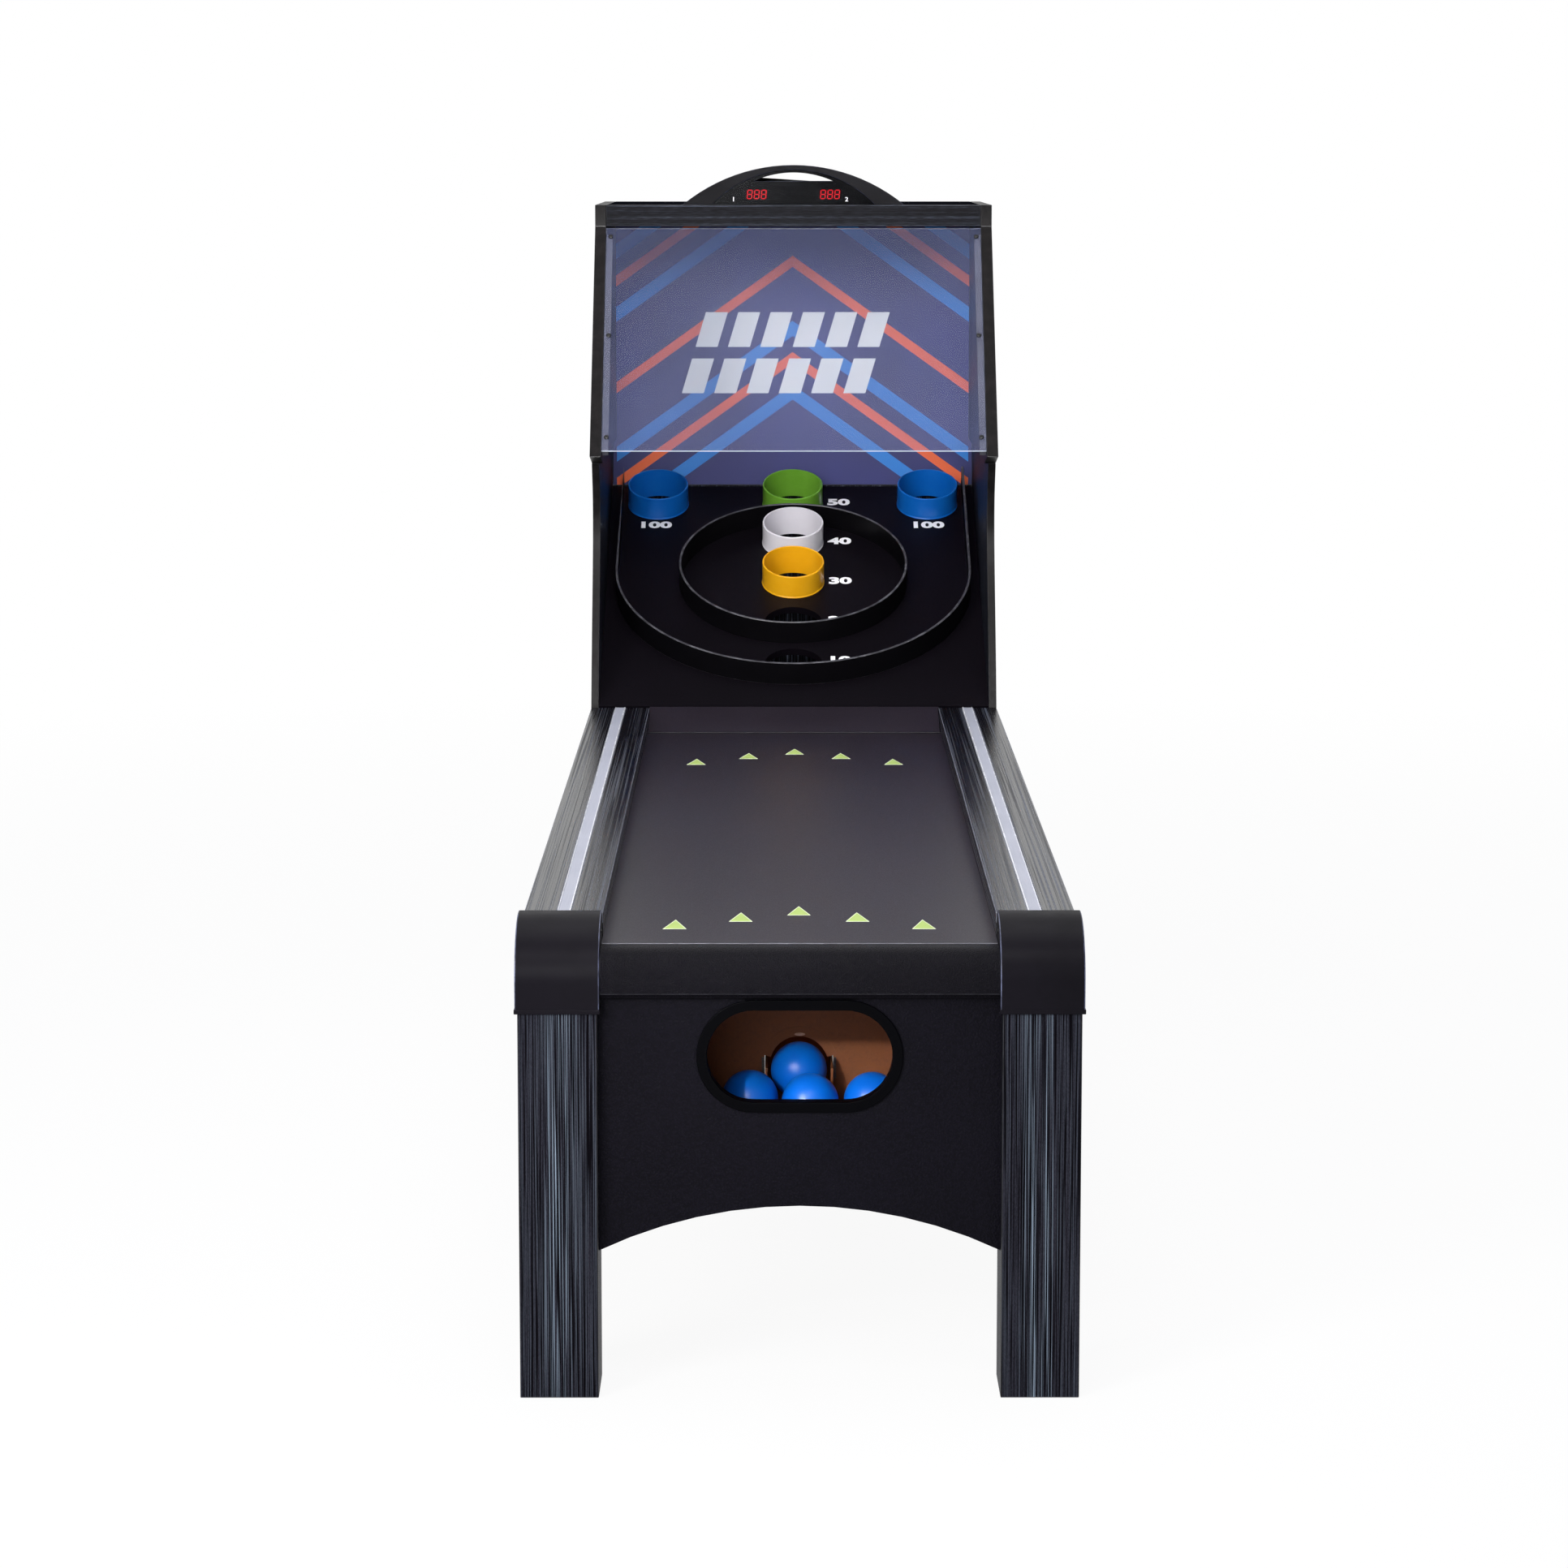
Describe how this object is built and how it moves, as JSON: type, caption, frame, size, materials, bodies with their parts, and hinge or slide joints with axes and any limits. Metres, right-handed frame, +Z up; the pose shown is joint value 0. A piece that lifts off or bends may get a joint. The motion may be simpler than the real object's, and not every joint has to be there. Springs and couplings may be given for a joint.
{
  "type": "roll and score game table",
  "caption": "Ball-rolling arcade table: a railed lane and ramp lead to a tilted board of scoring cups under a hood with a window and an electronic scoreboard.",
  "frame": {"origin": "on the floor, under the centre of the table's bounding box", "axes": "+Z up, +Y from the player along the lane to the target board, +X to the player's right"},
  "size_m": [0.66, 2.516, 1.4193],
  "materials": {
    "black_laminate": "black woodgrain laminate on board",
    "black_board": "matte black film on board",
    "lane_film": "satin charcoal film on board",
    "black_plastic": "moulded, satin",
    "raw_board": "raw brown fibreboard",
    "strip_plastic": "satin pale strip",
    "printed_panel": "printed film, navy with orange and blue",
    "clear_sheet": "clear acrylic",
    "blue_plastic": "glossy moulded",
    "green_plastic": "glossy moulded",
    "white_plastic": "glossy moulded",
    "yellow_plastic": "glossy moulded",
    "ball_plastic": "polished",
    "display_lens": "smoked lens with red digits behind it",
    "circuit_board": "green circuit board",
    "speaker_steel": "plated",
    "red_plastic": "moulded"
  },
  "bodies": {
    "frame": {"front_leg_left": "black_laminate", "front_leg_right": "black_laminate", "rear_leg_left": "black_laminate", "rear_leg_right": "black_laminate", "corner_cap_left": "black_plastic", "corner_cap_right": "black_plastic", "lane_nose": "black_board", "front_apron": "black_board", "slot_bezel": "black_plastic", "side_skirt_left": "black_laminate", "side_skirt_right": "black_laminate", "rail_inner_left": "black_laminate", "rail_inner_right": "black_laminate", "rail_top_left": "black_laminate", "rail_top_right": "black_laminate", "rail_strip_left": "strip_plastic", "rail_strip_right": "strip_plastic", "lane_deck": "lane_film", "ramp": "lane_film", "ball_tray": "raw_board", "tray_back": "raw_board", "return_chute": "raw_board", "deck_support": "raw_board", "cabinet_front": "raw_board", "target_board": "black_board", "cup_30": "yellow_plastic", "cup_40": "white_plastic", "cup_50": "green_plastic", "cup_100_left": "blue_plastic", "cup_100_right": "blue_plastic", "inner_ring": "black_plastic", "outer_ring": "black_plastic", "catch_board": "raw_board", "catch_fence_left": "raw_board", "catch_fence_right": "raw_board", "cabinet_side_left": "black_laminate", "cabinet_side_right": "black_laminate", "cabinet_back": "black_laminate", "back_panel": "printed_panel", "hood_side_left": "black_laminate", "hood_side_right": "black_laminate", "hood_fascia": "black_laminate", "hood_top": "black_laminate", "window": "clear_sheet", "window_cleat_left": "black_board", "window_cleat_right": "black_board", "score_housing": "black_plastic", "score_lens": "display_lens", "score_circuit": "circuit_board", "score_cover": "black_plastic", "speaker": "speaker_steel"},
    "ball_left": {"ball_1": "ball_plastic"},
    "ball_front": {"ball_2": "ball_plastic"},
    "ball_right": {"ball_3": "ball_plastic"},
    "ball_return": {"ball_4": "ball_plastic"},
    "switch_rocker": {"power_switch": "red_plastic"},
    "reset_key": {"reset_button": "red_plastic"},
    "battery_lid": {"battery_door": "black_plastic"}
  },
  "joints": [
    {"name": "ball_left_out", "type": "slide", "parent": "frame", "child": "ball_left", "axis": [0.0615, -0.8372, 0.5434], "range_m": [0, 0.24]},
    {"name": "ball_front_out", "type": "slide", "parent": "frame", "child": "ball_front", "axis": [0, -0.7986, 0.6018], "range_m": [0, 0.32]},
    {"name": "ball_right_out", "type": "slide", "parent": "frame", "child": "ball_right", "axis": [-0.1796, -0.801, 0.5711], "range_m": [0, 0.24]},
    {"name": "ball_return_roll", "type": "slide", "parent": "frame", "child": "ball_return", "axis": [0, 0.9982, 0.0593], "range_m": [0, 1.6]},
    {"name": "switch_rock", "type": "hinge", "parent": "frame", "child": "switch_rocker", "pos_m": [0.112, 0.937, 1.3743], "axis": [0, 0, 1], "range_deg": [-14, 0]},
    {"name": "reset_press", "type": "slide", "parent": "frame", "child": "reset_key", "axis": [0, -1, 0], "range_m": [0, 0.002], "stiffness_N_per_m": 250, "springref_m": -0.001},
    {"name": "battery_door_slide", "type": "slide", "parent": "frame", "child": "battery_lid", "axis": [-1, 0, 0], "range_m": [0, 0.066]}
  ]
}
